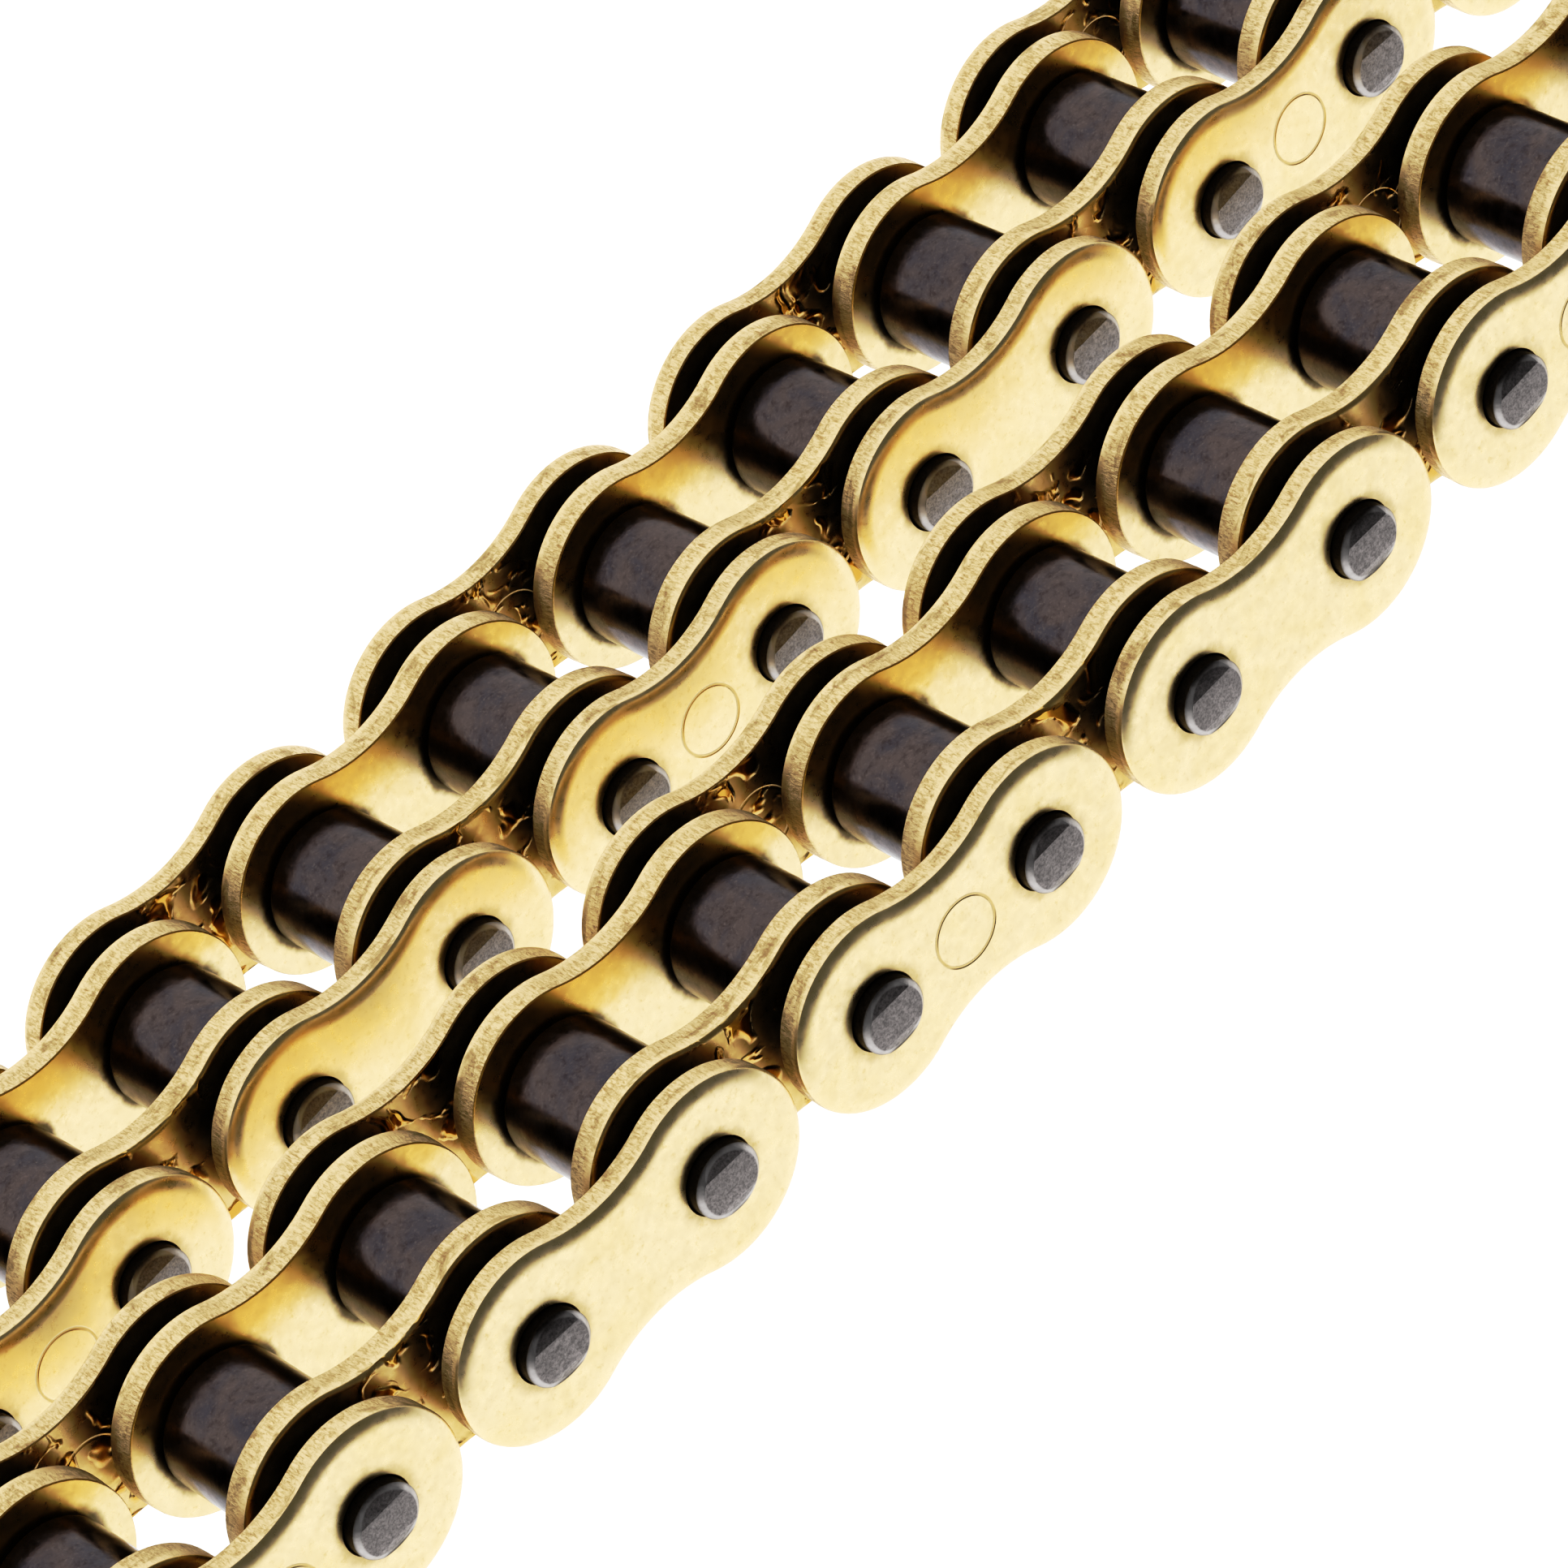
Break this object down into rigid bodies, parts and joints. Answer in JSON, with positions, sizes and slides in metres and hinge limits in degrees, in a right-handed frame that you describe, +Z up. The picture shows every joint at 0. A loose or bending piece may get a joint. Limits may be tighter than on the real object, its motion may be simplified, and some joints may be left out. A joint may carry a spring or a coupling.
{
  "type": "motorcycle roller chain",
  "caption": "Lengths of sealed motorcycle roller chain side by side on their plate edges, with gold plates, dark rollers and riveted black pins.",
  "frame": {"origin": "centre of the bounding box in plan, on the ground that the plate edges rest on", "axes": "+X along the near length of chain, +Y across it along the pins towards the far length, +Z up"},
  "size_m": [0.2104, 0.0574, 0.0148],
  "materials": {
    "gold_plate": "satin",
    "black_oxide": "satin",
    "dark_roller": "satin",
    "seal_rubber": "matte"
  },
  "bodies": {
    "near_link_01": {"near_roller_link_01": "gold_plate"},
    "near_roller_01": {"near_roller_01": "dark_roller"},
    "near_roller_02": {"near_roller_02": "dark_roller"},
    "near_link_02": {"near_pin_link_02": "gold_plate"},
    "near_link_03": {"near_roller_link_03": "gold_plate"},
    "near_roller_03": {"near_roller_03": "dark_roller"},
    "near_roller_04": {"near_roller_04": "dark_roller"},
    "near_link_04": {"near_pin_link_04": "gold_plate"},
    "near_link_05": {"near_roller_link_05": "gold_plate"},
    "near_roller_05": {"near_roller_05": "dark_roller"},
    "near_roller_06": {"near_roller_06": "dark_roller"},
    "near_link_06": {"near_pin_link_06_back_left_seal_ring": "seal_rubber", "near_pin_link_06_back_plate": "gold_plate", "near_pin_link_06_back_right_seal_ring": "seal_rubber", "near_pin_link_06_front_left_seal_ring": "seal_rubber", "near_pin_link_06_front_plate": "gold_plate", "near_pin_link_06_front_right_seal_ring": "seal_rubber", "near_pin_link_06_left_pin": "black_oxide", "near_pin_link_06_right_pin": "black_oxide"},
    "near_link_07": {"near_roller_link_07_back_plate": "gold_plate", "near_roller_link_07_front_plate": "gold_plate", "near_roller_link_07_left_bush": "black_oxide", "near_roller_link_07_right_bush": "black_oxide"},
    "near_roller_07": {"near_roller_07": "dark_roller"},
    "near_roller_08": {"near_roller_08": "dark_roller"},
    "near_link_08": {"near_pin_link_08": "gold_plate"},
    "near_link_09": {"near_roller_link_09": "gold_plate"},
    "near_roller_09": {"near_roller_09": "dark_roller"},
    "near_roller_10": {"near_roller_10": "dark_roller"},
    "near_link_10": {"near_pin_link_10": "gold_plate"},
    "near_link_11": {"near_roller_link_11": "gold_plate"},
    "near_roller_11": {"near_roller_11": "dark_roller"},
    "near_roller_12": {"near_roller_12": "dark_roller"},
    "far_link_01": {"far_roller_link_01": "gold_plate"},
    "far_roller_01": {"far_roller_01": "dark_roller"},
    "far_roller_02": {"far_roller_02": "dark_roller"},
    "far_link_02": {"far_pin_link_02": "gold_plate"},
    "far_link_03": {"far_roller_link_03": "gold_plate"},
    "far_roller_03": {"far_roller_03": "dark_roller"},
    "far_roller_04": {"far_roller_04": "dark_roller"},
    "far_link_04": {"far_pin_link_04": "gold_plate"},
    "far_link_05": {"far_roller_link_05": "gold_plate"},
    "far_roller_05": {"far_roller_05": "dark_roller"},
    "far_roller_06": {"far_roller_06": "dark_roller"},
    "far_link_06": {"far_pin_link_06": "gold_plate"},
    "far_link_07": {"far_roller_link_07": "gold_plate"},
    "far_roller_07": {"far_roller_07": "dark_roller"},
    "far_roller_08": {"far_roller_08": "dark_roller"},
    "far_link_08": {"far_pin_link_08": "gold_plate"},
    "far_link_09": {"far_roller_link_09": "gold_plate"},
    "far_roller_09": {"far_roller_09": "dark_roller"},
    "far_roller_10": {"far_roller_10": "dark_roller"},
    "far_link_10": {"far_pin_link_10": "gold_plate"},
    "far_link_11": {"far_roller_link_11": "gold_plate"},
    "far_roller_11": {"far_roller_11": "dark_roller"},
    "far_roller_12": {"far_roller_12": "dark_roller"},
    "far_link_12": {"far_pin_link_12": "gold_plate"}
  },
  "joints": [
    {"name": "near_joint_02", "type": "hinge", "parent": "near_link_02", "child": "near_link_01", "pos_m": [-0.08189, -0.01654, 0.0074], "axis": [0, -1, 0], "range_deg": [-110, 110]},
    {"name": "near_roller_01_spin", "type": "hinge", "parent": "near_link_01", "child": "near_roller_01", "pos_m": [-0.09776, -0.01654, 0.0074], "axis": [0, 1, 0], "continuous": true},
    {"name": "near_roller_02_spin", "type": "hinge", "parent": "near_link_01", "child": "near_roller_02", "pos_m": [-0.08189, -0.01654, 0.0074], "axis": [0, 1, 0], "continuous": true},
    {"name": "near_joint_03", "type": "hinge", "parent": "near_link_03", "child": "near_link_02", "pos_m": [-0.06601, -0.01654, 0.0074], "axis": [0, 1, 0], "range_deg": [-110, 110]},
    {"name": "near_joint_04", "type": "hinge", "parent": "near_link_04", "child": "near_link_03", "pos_m": [-0.05014, -0.01654, 0.0074], "axis": [0, -1, 0], "range_deg": [-110, 110]},
    {"name": "near_roller_03_spin", "type": "hinge", "parent": "near_link_03", "child": "near_roller_03", "pos_m": [-0.06601, -0.01654, 0.0074], "axis": [0, 1, 0], "continuous": true},
    {"name": "near_roller_04_spin", "type": "hinge", "parent": "near_link_03", "child": "near_roller_04", "pos_m": [-0.05014, -0.01654, 0.0074], "axis": [0, 1, 0], "continuous": true},
    {"name": "near_joint_05", "type": "hinge", "parent": "near_link_05", "child": "near_link_04", "pos_m": [-0.03426, -0.01654, 0.0074], "axis": [0, 1, 0], "range_deg": [-110, 110]},
    {"name": "near_joint_06", "type": "hinge", "parent": "near_link_06", "child": "near_link_05", "pos_m": [-0.01839, -0.01654, 0.0074], "axis": [0, -1, 0], "range_deg": [-110, 110]},
    {"name": "near_roller_05_spin", "type": "hinge", "parent": "near_link_05", "child": "near_roller_05", "pos_m": [-0.03426, -0.01654, 0.0074], "axis": [0, 1, 0], "continuous": true},
    {"name": "near_roller_06_spin", "type": "hinge", "parent": "near_link_05", "child": "near_roller_06", "pos_m": [-0.01839, -0.01654, 0.0074], "axis": [0, 1, 0], "continuous": true},
    {"name": "near_joint_07", "type": "hinge", "parent": "near_link_06", "child": "near_link_07", "pos_m": [-0.00251, -0.01654, 0.0074], "axis": [0, -1, 0], "range_deg": [-110, 110]},
    {"name": "near_roller_07_spin", "type": "hinge", "parent": "near_link_07", "child": "near_roller_07", "pos_m": [-0.00251, -0.01654, 0.0074], "axis": [0, 1, 0], "continuous": true},
    {"name": "near_roller_08_spin", "type": "hinge", "parent": "near_link_07", "child": "near_roller_08", "pos_m": [0.01336, -0.01654, 0.0074], "axis": [0, 1, 0], "continuous": true},
    {"name": "near_joint_08", "type": "hinge", "parent": "near_link_07", "child": "near_link_08", "pos_m": [0.01336, -0.01654, 0.0074], "axis": [0, 1, 0], "range_deg": [-110, 110]},
    {"name": "near_joint_09", "type": "hinge", "parent": "near_link_08", "child": "near_link_09", "pos_m": [0.02924, -0.01654, 0.0074], "axis": [0, -1, 0], "range_deg": [-110, 110]},
    {"name": "near_roller_09_spin", "type": "hinge", "parent": "near_link_09", "child": "near_roller_09", "pos_m": [0.02924, -0.01654, 0.0074], "axis": [0, 1, 0], "continuous": true},
    {"name": "near_roller_10_spin", "type": "hinge", "parent": "near_link_09", "child": "near_roller_10", "pos_m": [0.04511, -0.01654, 0.0074], "axis": [0, 1, 0], "continuous": true},
    {"name": "near_joint_10", "type": "hinge", "parent": "near_link_09", "child": "near_link_10", "pos_m": [0.04511, -0.01654, 0.0074], "axis": [0, 1, 0], "range_deg": [-110, 110]},
    {"name": "near_joint_11", "type": "hinge", "parent": "near_link_10", "child": "near_link_11", "pos_m": [0.06099, -0.01654, 0.0074], "axis": [0, -1, 0], "range_deg": [-110, 110]},
    {"name": "near_roller_11_spin", "type": "hinge", "parent": "near_link_11", "child": "near_roller_11", "pos_m": [0.06099, -0.01654, 0.0074], "axis": [0, 1, 0], "continuous": true},
    {"name": "near_roller_12_spin", "type": "hinge", "parent": "near_link_11", "child": "near_roller_12", "pos_m": [0.07686, -0.01654, 0.0074], "axis": [0, 1, 0], "continuous": true},
    {"name": "far_joint_02", "type": "hinge", "parent": "far_link_02", "child": "far_link_01", "pos_m": [-0.07709, 0.01179, 0.0074], "axis": [0.0269, -0.9996, 0], "range_deg": [-110, 110]},
    {"name": "far_roller_01_spin", "type": "hinge", "parent": "far_link_01", "child": "far_roller_01", "pos_m": [-0.09296, 0.01136, 0.0074], "axis": [-0.0269, 0.9996, 0], "continuous": true},
    {"name": "far_roller_02_spin", "type": "hinge", "parent": "far_link_01", "child": "far_roller_02", "pos_m": [-0.07709, 0.01179, 0.0074], "axis": [-0.0269, 0.9996, 0], "continuous": true},
    {"name": "far_joint_03", "type": "hinge", "parent": "far_link_03", "child": "far_link_02", "pos_m": [-0.06122, 0.01221, 0.0074], "axis": [-0.0269, 0.9996, 0], "range_deg": [-110, 110]},
    {"name": "far_joint_04", "type": "hinge", "parent": "far_link_04", "child": "far_link_03", "pos_m": [-0.04535, 0.01264, 0.0074], "axis": [0.0269, -0.9996, 0], "range_deg": [-110, 110]},
    {"name": "far_roller_03_spin", "type": "hinge", "parent": "far_link_03", "child": "far_roller_03", "pos_m": [-0.06122, 0.01221, 0.0074], "axis": [-0.0269, 0.9996, 0], "continuous": true},
    {"name": "far_roller_04_spin", "type": "hinge", "parent": "far_link_03", "child": "far_roller_04", "pos_m": [-0.04535, 0.01264, 0.0074], "axis": [-0.0269, 0.9996, 0], "continuous": true},
    {"name": "far_joint_05", "type": "hinge", "parent": "far_link_05", "child": "far_link_04", "pos_m": [-0.02949, 0.01307, 0.0074], "axis": [-0.0269, 0.9996, 0], "range_deg": [-110, 110]},
    {"name": "far_joint_06", "type": "hinge", "parent": "far_link_06", "child": "far_link_05", "pos_m": [-0.01362, 0.01349, 0.0074], "axis": [0.0269, -0.9996, 0], "range_deg": [-110, 110]},
    {"name": "far_roller_05_spin", "type": "hinge", "parent": "far_link_05", "child": "far_roller_05", "pos_m": [-0.02949, 0.01307, 0.0074], "axis": [-0.0269, 0.9996, 0], "continuous": true},
    {"name": "far_roller_06_spin", "type": "hinge", "parent": "far_link_05", "child": "far_roller_06", "pos_m": [-0.01362, 0.01349, 0.0074], "axis": [-0.0269, 0.9996, 0], "continuous": true},
    {"name": "far_joint_07", "type": "hinge", "parent": "far_link_06", "child": "far_link_07", "pos_m": [0.00225, 0.01392, 0.0074], "axis": [0.0269, -0.9996, 0], "range_deg": [-110, 110]},
    {"name": "far_roller_07_spin", "type": "hinge", "parent": "far_link_07", "child": "far_roller_07", "pos_m": [0.00225, 0.01392, 0.0074], "axis": [-0.0269, 0.9996, 0], "continuous": true},
    {"name": "far_roller_08_spin", "type": "hinge", "parent": "far_link_07", "child": "far_roller_08", "pos_m": [0.01812, 0.01435, 0.0074], "axis": [-0.0269, 0.9996, 0], "continuous": true},
    {"name": "far_joint_08", "type": "hinge", "parent": "far_link_07", "child": "far_link_08", "pos_m": [0.01812, 0.01435, 0.0074], "axis": [-0.0269, 0.9996, 0], "range_deg": [-110, 110]},
    {"name": "far_joint_09", "type": "hinge", "parent": "far_link_08", "child": "far_link_09", "pos_m": [0.03399, 0.01477, 0.0074], "axis": [0.0269, -0.9996, 0], "range_deg": [-110, 110]},
    {"name": "far_roller_09_spin", "type": "hinge", "parent": "far_link_09", "child": "far_roller_09", "pos_m": [0.03399, 0.01477, 0.0074], "axis": [-0.0269, 0.9996, 0], "continuous": true},
    {"name": "far_roller_10_spin", "type": "hinge", "parent": "far_link_09", "child": "far_roller_10", "pos_m": [0.04986, 0.0152, 0.0074], "axis": [-0.0269, 0.9996, 0], "continuous": true},
    {"name": "far_joint_10", "type": "hinge", "parent": "far_link_09", "child": "far_link_10", "pos_m": [0.04986, 0.0152, 0.0074], "axis": [-0.0269, 0.9996, 0], "range_deg": [-110, 110]},
    {"name": "far_joint_11", "type": "hinge", "parent": "far_link_10", "child": "far_link_11", "pos_m": [0.06573, 0.01563, 0.0074], "axis": [0.0269, -0.9996, 0], "range_deg": [-110, 110]},
    {"name": "far_roller_11_spin", "type": "hinge", "parent": "far_link_11", "child": "far_roller_11", "pos_m": [0.06573, 0.01563, 0.0074], "axis": [-0.0269, 0.9996, 0], "continuous": true},
    {"name": "far_roller_12_spin", "type": "hinge", "parent": "far_link_11", "child": "far_roller_12", "pos_m": [0.0816, 0.01605, 0.0074], "axis": [-0.0269, 0.9996, 0], "continuous": true},
    {"name": "far_joint_12", "type": "hinge", "parent": "far_link_11", "child": "far_link_12", "pos_m": [0.0816, 0.01605, 0.0074], "axis": [-0.0269, 0.9996, 0], "range_deg": [-110, 110]},
    {"name": "far_run_slide", "type": "slide", "parent": "near_link_06", "child": "far_link_06", "axis": [0.9996, 0.0269, 0], "range_m": [-0.008, 0.008]}
  ]
}
